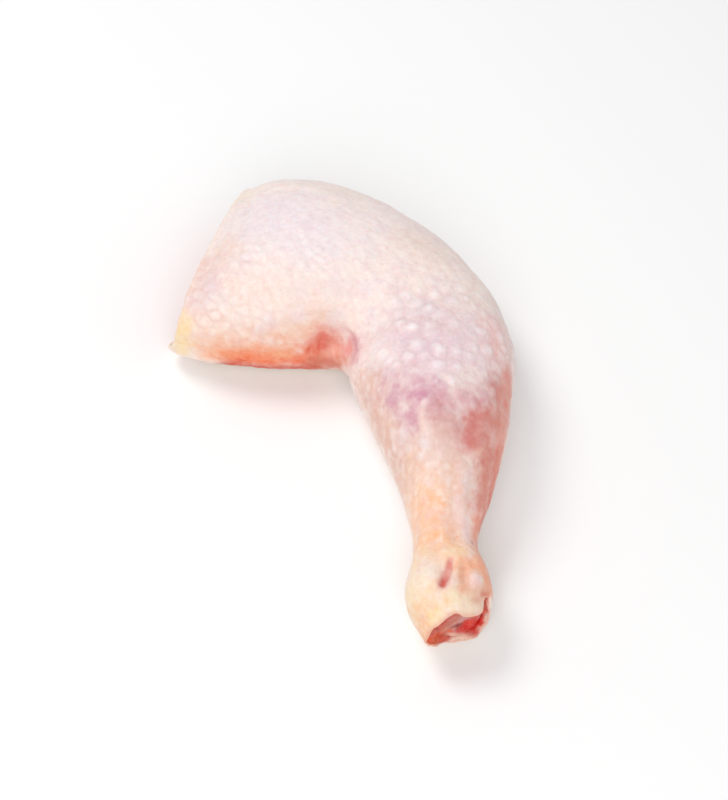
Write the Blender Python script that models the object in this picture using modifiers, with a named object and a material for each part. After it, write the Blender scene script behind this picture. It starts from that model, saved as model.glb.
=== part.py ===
"""A raw chicken leg, thigh and drumstick in one, lying on its meat side with the skin side up.

The body is a loft of upright sections that starts at the cut hip, turns about the crook of the
knee and ends at the cut hock. The skin is a shell over that form. It wraps the drumstick all round,
and leaves the hip end and a window under the thigh bare. The meat fills it, and the shank bone runs
through the drumstick to the cut. +X is the viewer's right, -Y is towards the hock and +Z is up.
"""

import math
from typing import NamedTuple

import bmesh
import bpy
from mathutils import Vector

MM = 0.001

# Driving sizes, in metres.
SKIN_THICKNESS = 1.8 * MM
LAYER_GAP = 0.8 * MM  # between skin and meat
BONE_GAP = 0.6 * MM  # between meat and bone
BONE_RECESS = 1.2 * MM  # how deep the bone's end lies inside the hock cut
HIP_ROLL = 2.5 * MM  # how far the skin's rim stands out past the hip cut
HIP_FLAP = 8.0 * MM  # how much further it stands out at the near corner
FLAP_WIDTH = 12.0 * MM
HIP_TURN_IN = 0.07  # how far the rim turns in over the meat, as a share of the way to the middle
HIP_RECESS = 1.5 * MM  # how deep the meat's edge lies inside the hip cut
HIP_BULGE = 6.5 * MM  # how far the meat's middle stands out from its edge

# The middle of the leg's box in the plan below, in millimetres. It becomes the model's origin.
PLAN_MIDDLE = (0.45, -15.15)

# How finely the form is cut into faces.
RINGS_PER_STATION = 3
SKIN_SEGMENTS = 30
BARE_SEGMENTS = 6
BONE_SEGMENTS = 14
CAP_SHARES = (0.85, 0.62, 0.34)  # the sizes of the rings that close an end, as shares of its edge
FINE_STEPS = 180
WELD = 0.02 * MM

# The window that the skin leaves open under the thigh.
WINDOW_END = 4.6
WINDOW_HALF_ANGLE = math.radians(40.0)
DOWN = math.radians(270.0)


class Station(NamedTuple):
    """One upright section of the leg, in millimetres. Its two edges are points of the plan."""

    near: tuple  # the edge on the crook's side
    far: tuple  # the edge on the outer side
    top: float
    bottom: float
    waist: float  # height of the widest line, as a share of the section
    lean: float  # how far the top runs ahead of the bottom, towards the hock
    squareness: float  # 2 is an ellipse


STATIONS = (
    Station((-59.5, 13), (-33, 88), 35, 1, 0.42, 0, 2.9),  # hip cut
    Station((-47, 8), (-20, 88.5), 44, -2, 0.42, 0, 2.5),  # rump
    Station((-31, 5), (1, 83), 49.5, -3, 0.42, 0, 2.3),  # middle of the thigh
    Station((-15, 5), (24, 70), 49.5, -3, 0.42, 0, 2.3),  # lower thigh
    Station((-3, 5), (44, 51), 48, -2, 0.44, 0, 2.3),  # back of the knee
    Station((2.5, 1), (59, 28), 47, -2, 0.46, 0, 2.3),  # knee
    Station((5.5, -9), (66, 5), 48, -2, 0.47, 0, 2.2),  # top of the calf
    Station((10.5, -25), (65, -16), 49, -2, 0.48, 0, 2.1),  # calf
    Station((17, -41), (62, -37), 47, -1, 0.48, 0, 2.1),  # lower calf
    Station((22.5, -57), (57, -56), 41, 1, 0.48, 0, 2.1),  # shin
    Station((26, -71), (52, -71), 35, 4, 0.48, 0, 2.1),  # shank
    Station((26.8, -83), (50.5, -82), 31, 5, 0.48, 0, 2.1),  # narrowest
    Station((24.5, -102), (55, -99), 32, 1.5, 0.48, 1.5, 2.2),  # knuckle
    Station((31, -119), (54, -107), 27.5, 6, 0.45, 1, 1.9),  # hock cut
)
LAST = len(STATIONS) - 1
MEAT_END = LAST - 0.1  # the place where the meat stops, just inside the hock cut


class Swell(NamedTuple):
    """A soft bump on the form, or a hollow where its height is negative. In millimetres."""

    middle: tuple
    reach: float
    height: float


SWELLS = (
    Swell((-3, 6, 27), 9, -4.5),  # hollow of the crook
    Swell((9, -1, 40), 9, -2.0),  # where the calf sets off from the thigh
    Swell((7, -8, 28), 8, 1.5),  # fold of skin over the calf
    Swell((47, -95, 26), 7, 2.0),  # outer knob of the knuckle
    Swell((29, -101, 24), 8, 1.5),  # inner knob
    Swell((38.5, -99, 31), 4.5, -2.5),  # groove between them
)

# The shank bone: how far along the stations, half width and half height, in millimetres.
BONE_STOPS = (
    (5.4, 9, 8),
    (6.4, 8, 7),
    (8.0, 4.5, 4.5),
    (10.0, 4, 4),
    (11.4, 5, 4.5),
    (12.3, 8.5, 6),
    (13.0, 10, 7),
)


def spline(values, place):
    """The value at a place along a row of values, on a smooth curve through all of them."""
    i = min(max(int(place), 0), len(values) - 2)
    t = place - i
    b, c = values[i], values[i + 1]
    a = values[i - 1] if i > 0 else 2 * b - c
    d = values[i + 2] if i + 2 < len(values) else 2 * c - b
    return b + 0.5 * t * (
        (c - a) + t * ((2 * a - 5 * b + 4 * c - d) + t * (3 * (b - c) + d - a))
    )


def from_plan(x, y, z=0.0):
    """A point of the plan, in millimetres, as a point of the model, in metres."""
    return Vector((x - PLAN_MIDDLE[0], y - PLAN_MIDDLE[1], z)) * MM


def station_at(place):
    """The section at a place between the stations, with its lengths in metres."""

    def part(read):
        return spline([read(s) for s in STATIONS], place)

    return Station(
        from_plan(part(lambda s: s.near[0]), part(lambda s: s.near[1])),
        from_plan(part(lambda s: s.far[0]), part(lambda s: s.far[1])),
        part(lambda s: s.top) * MM,
        part(lambda s: s.bottom) * MM,
        part(lambda s: s.waist),
        part(lambda s: s.lean) * MM,
        part(lambda s: s.squareness),
    )


def centre_of(section):
    middle = (section.near + section.far) / 2
    return middle + Vector((0, 0, (section.top + section.bottom) / 2))


def towards_hock(place):
    """The level direction in which the leg runs on from a place."""
    step = 0.05
    ahead = centre_of(station_at(min(place + step, LAST)))
    behind = centre_of(station_at(max(place - step, 0)))
    direction = ahead - behind
    direction.z = 0
    return direction.normalized()


def power(value, exponent):
    return math.copysign(abs(value) ** exponent, value)


def form_point(place, angle):
    """A point of the outer form. Angle 0 is the far edge, a quarter turn the top and a half turn
    the near edge. What would hang below the floor is pressed flat on it."""
    section = station_at(place)
    rounding = 2 / section.squareness
    across = power(math.cos(angle), rounding)
    rise = power(math.sin(angle), rounding)
    waist = section.bottom + section.waist * (section.top - section.bottom)
    height = (section.top - waist) if rise > 0 else (waist - section.bottom)
    middle = (section.near + section.far) / 2
    point = middle + (section.far - section.near) / 2 * across
    point += Vector((0, 0, waist + height * rise)) + towards_hock(place) * section.lean * rise
    outward = (point - centre_of(section)).normalized()
    for swell in SWELLS:
        away = (point - from_plan(*swell.middle)).length / (swell.reach * MM)
        point += outward * swell.height * MM * math.exp(-away * away)
    point.z = max(point.z, 0.0)
    return point


def arc(place, start, turn, count):
    """Evenly spaced points along a section, from a start angle over a turn."""
    fine = [form_point(place, start + turn * i / FINE_STEPS) for i in range(FINE_STEPS + 1)]
    run = [0.0]
    for before, after in zip(fine, fine[1:]):
        run.append(run[-1] + (after - before).length)
    points = []
    i = 0
    for k in range(count + 1):
        goal = run[-1] * k / count
        while i < FINE_STEPS - 1 and run[i + 1] < goal:
            i += 1
        share = (goal - run[i]) / max(run[i + 1] - run[i], 1e-9)
        points.append(fine[i].lerp(fine[i + 1], min(share, 1.0)))
    return points


def window_half_angle(place):
    """How far the skin's edge lies from straight down, either way. It is 0 past the knee."""
    if place >= WINDOW_END:
        return 0.0
    return WINDOW_HALF_ANGLE * math.sqrt(1 - (place / WINDOW_END) ** 3)


def grid_faces(mesh, rows, closed):
    """Quads between neighbouring rows of vertices, each facing out."""
    count = len(rows[0])
    for row, following in zip(rows, rows[1:]):
        for i in range(count if closed else count - 1):
            j = (i + 1) % count
            mesh.faces.new((row[i], row[j], following[j], following[i]))


def close_end(mesh, edges, outward, bulge):
    """Closes an open end with smaller and smaller rings, whose middle stands out in a round bulge."""
    last_share = 1.0
    for share in CAP_SHARES:
        made = bmesh.ops.extrude_edge_only(mesh, edges=edges)["geom"]
        inner = [item for item in made if isinstance(item, bmesh.types.BMVert)]
        middle = sum((vertex.co for vertex in inner), Vector()) / len(inner)
        rise = bulge * (last_share**2 - share**2)
        for vertex in inner:
            vertex.co = middle.lerp(vertex.co, share / last_share) + outward * rise
        edges = [item for item in made if isinstance(item, bmesh.types.BMEdge)]
        last_share = share
    bmesh.ops.contextual_create(mesh, geom=edges)


def new_object(name, mesh, material, collection):
    """Makes an object of a bmesh, shaded smooth, and frees the bmesh."""
    mesh.normal_update()
    data = bpy.data.meshes.new(name)
    mesh.to_mesh(data)
    mesh.free()
    data.shade_smooth()
    if material:
        data.materials.append(material)
    thing = bpy.data.objects.new(name, data)
    collection.objects.link(thing)
    return thing


def places():
    count = LAST * RINGS_PER_STATION
    return [LAST * i / count for i in range(count + 1)]


def skin_arc(place):
    """The section's points that the skin covers, from one edge of the window to the other."""
    half = window_half_angle(place)
    return arc(place, DOWN + half, 2 * math.pi - 2 * half, SKIN_SEGMENTS)


def bare_arc(place):
    """The points between the skin's edges. They fall together where the skin is closed."""
    half = window_half_angle(place)
    return arc(place, DOWN - half, 2 * half, BARE_SEGMENTS)[1:-1]


def rolled_hip_edge():
    """The skin's rim past the hip cut. It turns in over the meat, and has a flap at the near corner."""
    section = station_at(0)
    outward = -towards_hock(0)
    points = []
    for point in skin_arc(0):
        flap = HIP_FLAP * math.exp(-(((point - section.near).length / FLAP_WIDTH) ** 2))
        rolled = point.lerp(centre_of(section), HIP_TURN_IN)
        points.append(rolled + outward * (HIP_ROLL + flap))
    return points


def make_skin(material, collection):
    """The skin as an open sheet with Solidify. Its edges meet along the drumstick's underside."""
    mesh = bmesh.new()
    rings = [rolled_hip_edge(), *(skin_arc(place) for place in places())]
    rows = [[mesh.verts.new(point) for point in ring] for ring in rings]
    grid_faces(mesh, rows, closed=False)
    bmesh.ops.remove_doubles(mesh, verts=mesh.verts, dist=WELD)
    skin = new_object("skin", mesh, material, collection)
    shell = skin.modifiers.new("thickness", "SOLIDIFY")
    shell.thickness = SKIN_THICKNESS
    shell.offset = -1
    shell.use_even_offset = True
    return skin


def make_meat(material, collection):
    """The meat, a closed loft that lies just inside the skin, with a rounded face at the hip."""
    mesh = bmesh.new()
    rows = []
    for place in (*places()[:-1], MEAT_END):
        shift = towards_hock(0) * HIP_RECESS if place == 0 else Vector()
        ring = skin_arc(place) + bare_arc(place)
        rows.append([mesh.verts.new(point + shift) for point in ring])
    grid_faces(mesh, rows, closed=True)
    bmesh.ops.remove_doubles(mesh, verts=mesh.verts, dist=WELD)
    mesh.normal_update()
    for vertex in mesh.verts:
        vertex.co -= vertex.normal * (SKIN_THICKNESS + LAYER_GAP)

    ends = [edge for edge in mesh.edges if edge.is_boundary]
    for outward, bulge in ((-towards_hock(0), HIP_BULGE), (towards_hock(LAST), 0.0)):
        at_hip = bulge > 0
        near = [e for e in ends if (e.verts[0].co.y > 0) == at_hip]
        close_end(mesh, near, outward, bulge)
    bmesh.ops.recalc_face_normals(mesh, faces=mesh.faces)
    return new_object("meat", mesh, material, collection)


def make_bone(name, material, collection, extra=0.0, overrun=0.0):
    """The shank bone as a loft of oval rings. With some extra size and an overrun past the cut it
    is the channel that the bone lies in."""
    mesh = bmesh.new()
    rows = []
    stops = [(*stop, 0.0) for stop in BONE_STOPS]
    stops[0] = (*BONE_STOPS[0], -extra)
    stops[-1] = (*BONE_STOPS[-1], -BONE_RECESS)
    if overrun:
        stops.append((*BONE_STOPS[-1], overrun))
    for place, half_width, half_height, shift in stops:
        section = station_at(place)
        across = (section.far - section.near).normalized()
        ahead = towards_hock(place)
        centre = centre_of(section) + ahead * shift
        slope = section.lean / (section.top - section.bottom) * 2
        row = []
        for i in range(BONE_SEGMENTS):
            angle = 2 * math.pi * i / BONE_SEGMENTS
            rise = (half_height * MM + extra) * math.sin(angle)
            point = centre + across * (half_width * MM + extra) * math.cos(angle)
            point += Vector((0, 0, rise)) + ahead * slope * rise
            row.append(mesh.verts.new(point))
        rows.append(row)
    grid_faces(mesh, rows, closed=True)
    mesh.faces.new(rows[0][::-1])
    mesh.faces.new(rows[-1])
    bmesh.ops.recalc_face_normals(mesh, faces=mesh.faces)
    return new_object(name, mesh, material, collection)


def make_material(name, colour, roughness):
    material = bpy.data.materials.new(name)
    material.use_nodes = True
    shader = material.node_tree.nodes["Principled BSDF"]
    shader.inputs["Base Color"].default_value = (*colour, 1)
    shader.inputs["Roughness"].default_value = roughness
    return material


def new_collection(name):
    collection = bpy.data.collections.new(name)
    bpy.context.scene.collection.children.link(collection)
    return collection


def main():
    for old in list(bpy.data.objects):
        bpy.data.objects.remove(old)
    leg = new_collection("raw_chicken_leg")
    cutters = new_collection("cutters")

    skin_finish = make_material("skin", (0.85, 0.66, 0.58), 0.45)
    meat_finish = make_material("meat", (0.55, 0.16, 0.12), 0.4)
    bone_finish = make_material("bone", (0.72, 0.52, 0.5), 0.4)

    make_skin(skin_finish, leg)
    meat = make_meat(meat_finish, leg)
    make_bone("shank_bone", bone_finish, leg)

    channel = make_bone("bone_channel", None, cutters, BONE_GAP, 10 * MM)
    channel.hide_render = True
    channel.display_type = "WIRE"
    bore = meat.modifiers.new("bone_channel", "BOOLEAN")
    bore.operation = "DIFFERENCE"
    bore.object = channel


main()
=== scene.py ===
"""The looks of a raw chicken leg: skin, meat and bone, on a pale floor in soft studio light.

The form is worked out in plan millimetres, from the same stations as the solids: X to the right, -Y
towards the hock, Z up. Each mesh is turned into the model's frame, in metres, when it is made.
"""

import math
from typing import NamedTuple

import bpy
import numpy as np
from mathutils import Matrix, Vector, kdtree, noise


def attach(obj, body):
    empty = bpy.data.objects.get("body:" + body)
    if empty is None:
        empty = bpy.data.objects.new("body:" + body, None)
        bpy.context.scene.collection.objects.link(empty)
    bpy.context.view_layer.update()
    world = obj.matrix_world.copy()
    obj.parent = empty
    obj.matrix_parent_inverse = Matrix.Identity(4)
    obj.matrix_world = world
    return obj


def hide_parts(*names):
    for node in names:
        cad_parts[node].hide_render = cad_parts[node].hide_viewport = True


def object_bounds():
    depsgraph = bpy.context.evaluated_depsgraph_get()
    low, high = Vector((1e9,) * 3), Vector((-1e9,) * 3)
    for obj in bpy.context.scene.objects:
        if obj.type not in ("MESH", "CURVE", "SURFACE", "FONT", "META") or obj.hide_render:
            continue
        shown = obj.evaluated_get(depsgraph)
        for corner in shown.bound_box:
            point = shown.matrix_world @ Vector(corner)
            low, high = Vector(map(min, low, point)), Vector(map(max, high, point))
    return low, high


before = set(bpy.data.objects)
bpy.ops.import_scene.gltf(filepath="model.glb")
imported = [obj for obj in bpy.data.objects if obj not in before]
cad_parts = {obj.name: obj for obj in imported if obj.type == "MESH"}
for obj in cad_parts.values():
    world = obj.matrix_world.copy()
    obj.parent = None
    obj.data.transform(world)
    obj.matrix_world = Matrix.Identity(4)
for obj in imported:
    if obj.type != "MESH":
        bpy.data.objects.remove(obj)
cad_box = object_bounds()

MM = 0.001
PLAN_MIDDLE = np.array((0.45, -15.15, 0.0))

# Driving sizes of the layers, in millimetres.
SKIN_THICKNESS = 1.8
HOCK_THINNING = 0.5  # how much thinner the skin is at the hock cut, as a share
LAYER_GAP = 0.35
BARE_DEPTH = 0.6  # how far the bare meat under the thigh lies inside the form
HIP_ROLL = 2.5
HIP_FLAP = 11.5
FLAP_WIDTH = 10.0
FLAP_POINTEDNESS = 1.3  # 2 is round, less is pointed
HIP_TURN_IN = 0.07
HIP_RECESS = 1.5
HIP_BULGE = 6.5
BONE_RECESS = 1.2
BONE_GAP = -0.15  # the bone's end bites a little into the meat round it

# The window that the skin leaves open under the thigh.
WINDOW_END = 4.6
WINDOW_HALF_ANGLE = math.radians(40.0)
DOWN = math.radians(270.0)
FULL_TURN = 2 * math.pi

# How fine the meshes are.
ROWS_PER_STATION = 26
SKIN_COLUMNS = 300
MEAT_ROWS_PER_STATION = 10
MEAT_COLUMNS = 216
FINE_STEPS = 900
STATION_PITCH = 16.0  # about how far apart the stations are
EDGE_STOPS = np.array((0.0, 0.12, 0.4, 0.8, 1.3))  # how far from an edge its close rows lie
FACE_RINGS = 26
HOCK_RINGS = 12
CHANNEL_ROWS = 60
BONE_ROWS = 150
BONE_COLUMNS = 96

# One row for each station of the leg, from the hip cut to the hock cut.
NEAR, FAR, TOP, BOTTOM, WAIST, LEAN, SQUARENESS = slice(0, 2), slice(2, 4), 4, 5, 6, 7, 8
STATIONS = np.array((
    (-59.5, 13, -33, 88, 35, 1, 0.42, 0, 2.9),  # hip cut
    (-47, 8, -20, 88.5, 44, -2, 0.42, 0, 2.5),  # rump
    (-31, 5, 1, 83, 49.5, -3, 0.42, 0, 2.3),  # middle of the thigh
    (-15, 5, 24, 70, 49.5, -3, 0.42, 0, 2.3),  # lower thigh
    (-3, 5, 44, 51, 48, -2, 0.44, 0, 2.3),  # back of the knee
    (2.5, 1, 59, 28, 47, -2, 0.46, 0, 2.3),  # knee
    (5.5, -9, 66, 5, 48, -2, 0.47, 0, 2.2),  # top of the calf
    (10.5, -25, 65, -16, 49, -2, 0.48, 0, 2.1),  # calf
    (17, -41, 62, -37, 47, -1, 0.48, 0, 2.1),  # lower calf
    (22.5, -57, 57, -56, 41, 1, 0.48, 0, 2.1),  # shin
    (26, -71, 52, -71, 35, 4, 0.48, 0, 2.1),  # shank
    (26.8, -83, 50.5, -82, 31, 5, 0.48, 0, 2.1),  # narrowest
    (24.5, -102, 55, -99, 32, 1.5, 0.48, 1.5, 2.2),  # knuckle
    (31, -119, 54, -107, 27.5, 6, 0.45, 1, 1.9),  # hock cut
))
LAST = len(STATIONS) - 1
MEAT_END = LAST - 0.05  # the place where the meat stops, just inside the hock cut

# Soft bumps and hollows of the form: middle, reach and height.
SWELLS = (
    ((-3, 6, 27), 9, -4.5),  # hollow of the crook
    ((9, -1, 40), 9, -2.0),  # where the calf sets off from the thigh
    ((7, -8, 28), 8, 1.5),  # fold of skin over the calf
    ((47, -95, 26), 7, 2.0),  # outer knob of the knuckle
    ((29, -101, 24), 8, 1.5),  # inner knob
    ((38.5, -99, 31), 4.5, -2.5),  # groove between them
)

# The shank bone: the place along the stations, half width, half height, and shift outwards.
BONE_STOPS = np.array((
    (5.4, 9, 8, 0),
    (6.4, 8, 7, 0),
    (8, 4.5, 4.5, 0),
    (10, 4, 4, 0),
    (11.4, 5, 4.5, 0),
    (12.3, 7.6, 5.8, 0.6),
    (13, 8.4, 6.5, 1.3),
))

# The line on the plan where the thigh ends and the drumstick begins, from the crook outwards.
KNEE_LINE_START = np.array((5.0, 4.0))
KNEE_LINE_NORMAL = np.array((0.428, -0.904))

# The run of the skin's grain over the thigh.
THIGH_GRAIN = np.array((0.62, -0.78, 0.0))


def unit(vectors):
    return vectors / np.maximum(np.linalg.norm(vectors, axis=-1, keepdims=True), 1e-9)


def power(values, exponents):
    return np.sign(values) * np.abs(values) ** exponents


def ease(values):
    """A smooth step from 0 to 1."""
    share = np.clip(values, 0.0, 1.0)
    return share * share * (3 - 2 * share)


def bell(values):
    """1 at 0, falling smoothly to nothing within about 2."""
    return np.exp(-(values**2))


def off_floor(heights):
    """0 where the form is pressed flat on the floor, rising to 1 a few millimetres up."""
    return ease((heights - 0.5) / 5)


def spline(table, places):
    """Rows of a table at places between them, on smooth curves through all of them."""
    places = np.atleast_1d(places).astype(float)
    i = np.clip(places.astype(int), 0, len(table) - 2)
    t = (places - i)[:, None]
    b, c = table[i], table[i + 1]
    a = np.where(i[:, None] > 0, table[np.maximum(i - 1, 0)], 2 * b - c)
    d = np.where(i[:, None] + 2 < len(table), table[np.minimum(i + 2, len(table) - 1)], 2 * c - b)
    return b + 0.5 * t * ((c - a) + t * ((2 * a - 5 * b + 4 * c - d) + t * (3 * (b - c) + d - a)))


def centres(places):
    table = spline(STATIONS, places)
    middle = (table[:, NEAR] + table[:, FAR]) / 2
    return np.column_stack((middle, (table[:, TOP] + table[:, BOTTOM]) / 2))


def towards_hock(places):
    """The level directions in which the leg runs on from places."""
    step = 0.05
    ahead = centres(np.minimum(places + step, LAST)) - centres(np.maximum(places - step, 0))
    ahead[:, 2] = 0
    return unit(ahead)


HIP_OUTWARD = -towards_hock(np.array((0.0,)))[0]
HOCK_OUTWARD = towards_hock(np.array((float(LAST),)))[0]


def form(places, angles):
    """Points of the outer form. Angle 0 is the far edge, a quarter turn the top and a half turn the
    near edge. What would hang below the floor is pressed flat on it."""
    table = spline(STATIONS, places)
    rounding = 2 / table[:, SQUARENESS]
    across = power(np.cos(angles), rounding)
    rise = power(np.sin(angles), rounding)
    waist = table[:, BOTTOM] + table[:, WAIST] * (table[:, TOP] - table[:, BOTTOM])
    height = np.where(rise > 0, table[:, TOP] - waist, waist - table[:, BOTTOM])
    middle = (table[:, NEAR] + table[:, FAR]) / 2
    half = (table[:, FAR] - table[:, NEAR]) / 2
    points = np.column_stack((middle + half * across[:, None], waist + height * rise))
    points += towards_hock(places) * (table[:, LEAN] * rise)[:, None]
    outward = unit(points - centres(places))
    for swell_middle, reach, swell_height in SWELLS:
        away = np.linalg.norm(points - swell_middle, axis=1) / reach
        points += outward * (swell_height * bell(away))[:, None]
    points[:, 2] = np.maximum(points[:, 2], 0.0)
    return points


def stops(length, count):
    """Distances along a length, even but for a few close together at each end."""
    even = np.linspace(EDGE_STOPS[-1], length - EDGE_STOPS[-1], count + 1)
    return np.concatenate((EDGE_STOPS[:-1], even, length - EDGE_STOPS[-2::-1]))


def arc(place, start, turn, count, edges=False):
    """Points and angles along a section over a turn, closer together above than near the floor."""
    angles = start + turn * np.linspace(0, 1, FINE_STEPS + 1)
    fine = np.column_stack((form(np.full_like(angles, place), angles), angles))
    steps = np.linalg.norm(np.diff(fine[:, :3], axis=0), axis=1)
    density = 0.45 + 0.55 * ease(fine[1:, 2] / 12)
    run = np.concatenate(((0.0,), np.cumsum(steps * density)))
    goals = stops(run[-1], count) if edges else np.linspace(0, run[-1], count + 1)
    return np.column_stack([np.interp(goals, run, column) for column in fine.T])


def window_half_angle(place):
    """How far the skin's edge lies from straight down, either way. It is 0 past the knee."""
    return WINDOW_HALF_ANGLE * math.sqrt(max(1 - (max(place, 0) / WINDOW_END) ** 3, 0.0))


def skin_depth(places):
    """The skin's thickness. It thins out at the hock cut."""
    return SKIN_THICKNESS * (1 - HOCK_THINNING * ease(1 - (LAST - places) / 0.7))


def grid(rows, seam_rows, poles=False):
    """Joins rows of points into quads that face out, and gives the rows' table and the quads. In a
    seam row the last point is the first one. With poles the first and last row are one point each."""
    count = len(rows[0])
    index = np.arange(len(rows) * count).reshape(len(rows), count)
    index[seam_rows, -1] = index[seam_rows, 0]
    if poles:
        index[0] = index[0, 0]
        index[-1] = index[-1, 0]
    a, b = index[:-1, :-1], index[:-1, 1:]
    c, d = index[1:, 1:], index[1:, :-1]
    quads = np.stack((a, b, c, d), axis=-1).reshape(-1, 4)
    used, quads = np.unique(quads, return_inverse=True)
    return np.concatenate(rows)[used], quads.reshape(-1, 4)


def close_rings(rings):
    """Joins rings into a closed mesh: points, quads, and the ring and column of each point."""
    rings[:, -1] = rings[:, 0]
    columns = np.arange(rings.shape[1], dtype=float)
    rows = [np.column_stack((ring, np.full(len(ring), i), columns)) for i, ring in enumerate(rings)]
    table, quads = grid(rows, np.ones(len(rings), bool), poles=True)
    return table[:, :3], quads, (table[:, 3].astype(int), table[:, 4].astype(int))


def normals_of(points, quads):
    a, b, c, d = (points[quads[:, k]] for k in range(4))
    across = np.cross(c - a, d - b)
    total = np.zeros_like(points)
    for k in range(4):
        np.add.at(total, quads[:, k], across)
    return unit(total)


def ring_normals(rings):
    """Outward normals of closed rings of points."""
    around = np.gradient(rings, axis=1)
    around[:, 0] = around[:, -1] = (rings[:, 1] - rings[:, -2]) / 2
    return unit(np.cross(around, np.gradient(rings, axis=0)))


def border_of(quads, count):
    """A mask of the vertices on an open edge."""
    sides = np.concatenate([quads[:, (k, (k + 1) % 4)] for k in range(4)])
    sides.sort(axis=1)
    pairs, times = np.unique(sides, axis=0, return_counts=True)
    mask = np.zeros(count, bool)
    mask[pairs[times == 1].ravel()] = True
    return mask


def tree_of(points):
    tree = kdtree.KDTree(len(points))
    for i, point in enumerate(points):
        tree.insert(point, i)
    tree.balance()
    return tree


def nearest_distance(points, targets):
    tree = tree_of(targets)
    return np.array([tree.find(point)[2] for point in points])


def noise_at(points, size, seed):
    """Smooth noise between about -1 and 1, with features of a size in millimetres."""
    shifted = (points / size + seed * 7.3).reshape(-1, 3)
    return np.array([noise.noise(Vector(point)) for point in shifted]).reshape(points.shape[:-1])


def noises(points, *layers):
    """A sum of noises, each given by its height, its size and its seed."""
    return sum(height * noise_at(points, size, seed) for height, size, seed in layers)


def path_distance(points, path):
    """Distance from points to a path of straight pieces, and the share along the path."""
    path = np.array(path, float)
    if len(path) == 1:
        return np.linalg.norm(points - path[0], axis=-1), np.full(points.shape[:-1], 0.5)
    best = np.full(points.shape[:-1], 1e9)
    share = np.zeros_like(best)
    for i in range(len(path) - 1):
        side = path[i + 1] - path[i]
        along = np.clip((points - path[i]) @ side / (side @ side), 0, 1)
        away = np.linalg.norm(points - path[i] - along[..., None] * side, axis=-1)
        closer = away < best
        best[closer] = away[closer]
        share[closer] = ((i + along) / (len(path) - 1))[closer]
    return best, share


def blob(points, middle, reach):
    return bell(np.linalg.norm(points - np.array(middle, float), axis=-1) / reach)


def past_knee(points):
    """How far points lie on the drumstick's side of the knee line, in millimetres."""
    return (points[:, :2] - KNEE_LINE_START) @ KNEE_LINE_NORMAL


def on_thigh(points):
    return 1 - ease(past_knee(points) / 12 + 0.5)


TINT = "tint"  # the name of the painted colours on each mesh


def to_model(points):
    return (points - PLAN_MIDDLE) * MM


def keep_in_box(points):
    """Presses what stands out of the solids' box flat onto it."""
    low, high = (np.array(corner) / MM + PLAN_MIDDLE for corner in cad_box)
    return np.clip(points, low, high)


def new_object(name, data):
    thing = bpy.data.objects.new(name, data)
    bpy.context.scene.collection.objects.link(thing)
    return thing


def new_piece(name, points, quads, tint, material):
    """Makes a painted mesh piece from plan points, which rides on the body."""
    faces = [tuple(dict.fromkeys(quad)) for quad in quads.tolist()]
    mesh = bpy.data.meshes.new(name)
    mesh.from_pydata(to_model(keep_in_box(points)).tolist(), [], faces)
    mesh.update()
    mesh.shade_smooth()
    mesh.materials.append(material)
    layer = mesh.color_attributes.new(TINT, "FLOAT_COLOR", "POINT")
    rgba = np.ones((len(tint), 4), np.float32)
    rgba[:, :3] = np.clip(tint, 0, 1)
    layer.data.foreach_set("color", rgba.ravel())
    piece = new_object(name, mesh)
    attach(piece, "root")
    return piece


def linear(red, green, blue):
    """An sRGB colour from 0 to 255 as linear numbers."""
    share = np.array((red, green, blue)) / 255
    return np.where(share <= 0.04045, share / 12.92, ((share + 0.055) / 1.055) ** 2.4)


def one_colour(colour, count):
    return np.tile(linear(*colour), (count, 1))


def towards(colours, colour, shares):
    """Colours moved by shares towards an sRGB one."""
    return colours + (linear(*colour) - colours) * np.clip(shares, 0, 1)[:, None]


class Patch(NamedTuple):
    """A row of the tables of patches: a soft patch of colour along a path on the surface."""

    path: tuple
    reach: float
    colour: tuple
    strength: float
    mottle: float = 0.0  # how much it breaks up into blotches
    hardness: float = 2.5  # how sharply it ends


def paint(points, colours, patches):
    """Lays patches of colour over others, one after another, with uneven outlines."""
    ragged = 1 + noises(points, (0.32, 7, 5), (0.32, 2.8, 6), (0.14, 1.2, 9))
    blotches = ease(0.5 + noises(points, (1.3, 4.2, 7), (0.5, 1.8, 8)))
    for patch in (Patch(*row) for row in patches):
        away = path_distance(points, patch.path)[0] / patch.reach * ragged
        cover = patch.strength * np.exp(-(away**patch.hardness)) * (1 - patch.mottle * blotches)
        colours = towards(colours, patch.colour, cover)
    return colours


class Fold(NamedTuple):
    """A row of FOLDS: a ridge along a path on the skin, or a crease where its rise is negative."""

    path: tuple
    width: float
    rise: float


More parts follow.
